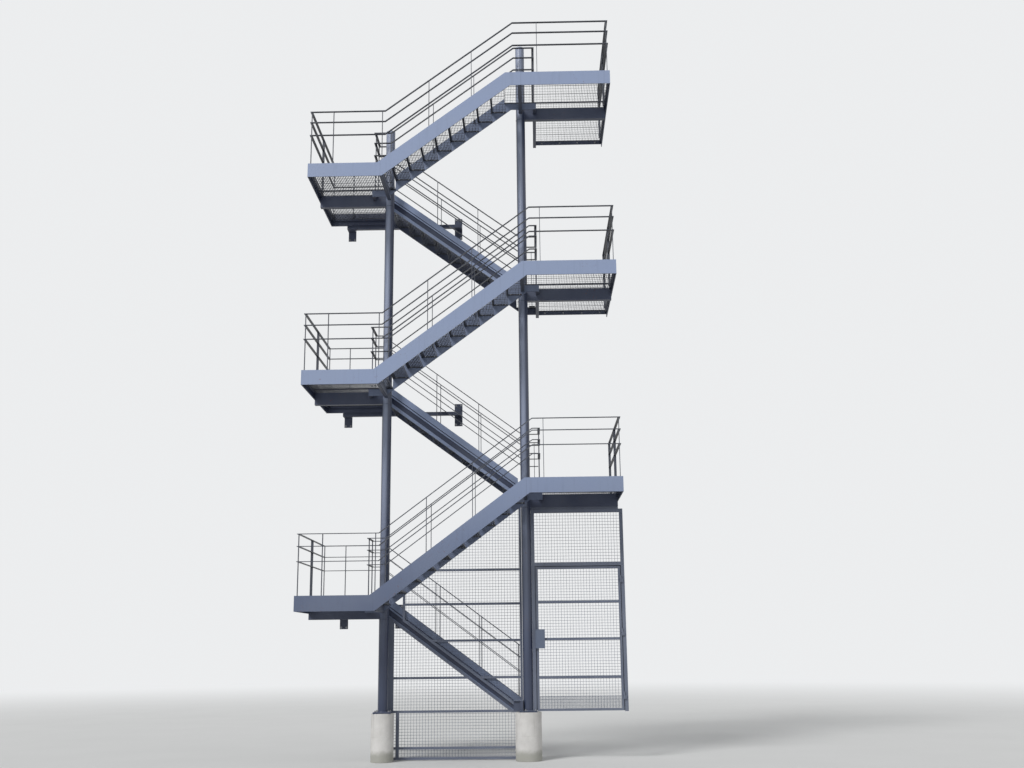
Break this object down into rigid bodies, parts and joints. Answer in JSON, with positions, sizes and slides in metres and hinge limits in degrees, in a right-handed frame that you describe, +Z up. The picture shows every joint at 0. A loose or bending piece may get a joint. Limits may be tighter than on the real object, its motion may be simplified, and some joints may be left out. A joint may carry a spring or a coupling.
{
  "type": "external fire escape stair",
  "caption": "Steel fire escape stair that climbs a building's wall in dog-leg flights, carried on two columns, with open grating treads, landings, rail guards and a ground gate.",
  "frame": {"origin": "centre of the left plinth's foot, on the ground", "axes": "+X along the wall, from the half landings' side towards the gate's side; +Y towards the wall; +Z up"},
  "size_m": [5.5, 2.68, 13.19],
  "materials": {
    "frame_paint": "satin",
    "column_paint": "satin",
    "rail_paint": "satin",
    "grating": "matte",
    "gate_paint": "satin",
    "plinth_concrete": "matte"
  },
  "bodies": {
    "stair": {"column_base_plates": "column_paint", "cross_arms": "frame_paint", "foot_beam": "frame_paint", "front_flight_1_stringers": "frame_paint", "front_flight_1_treads": "grating", "front_flight_2_stringers": "frame_paint", "front_flight_2_treads": "grating", "front_flight_3_stringers": "frame_paint", "front_flight_3_treads": "grating", "front_outer_guards": "rail_paint", "front_well_guards": "rail_paint", "gate_hinge_pins": "gate_paint", "gate_left_jamb": "gate_paint", "gate_over_panel": "gate_paint", "gate_right_jamb": "gate_paint", "half_landing_1_frame": "frame_paint", "half_landing_2_frame": "frame_paint", "half_landing_3_frame": "frame_paint", "half_landing_decks": "grating", "landing_1_frame": "frame_paint", "landing_2_frame": "frame_paint", "landing_3_frame": "frame_paint", "landing_decks": "grating", "landing_end_guards": "rail_paint", "left_column": "column_paint", "left_plinth": "plinth_concrete", "lower_screen": "gate_paint", "rear_flight_1_stringers": "frame_paint", "rear_flight_1_treads": "grating", "rear_flight_2_stringers": "frame_paint", "rear_flight_2_treads": "grating", "rear_flight_3_stringers": "frame_paint", "rear_flight_3_treads": "grating", "rear_wall_guards": "rail_paint", "rear_well_guards": "rail_paint", "right_column": "column_paint", "right_plinth": "plinth_concrete", "spine_beams": "frame_paint", "upper_screen": "gate_paint", "wall_beams": "frame_paint", "wall_brackets": "frame_paint", "well_end_guards": "rail_paint"},
    "gate": {"gate_leaf": "gate_paint", "gate_lock_box": "gate_paint", "gate_hinge_barrels": "gate_paint"}
  },
  "joints": [
    {"name": "gate_hinge", "type": "hinge", "parent": "stair", "child": "gate", "pos_m": [4.114, -0.0455, 0.99], "axis": [0, 0, 1], "range_deg": [0, 90]}
  ]
}
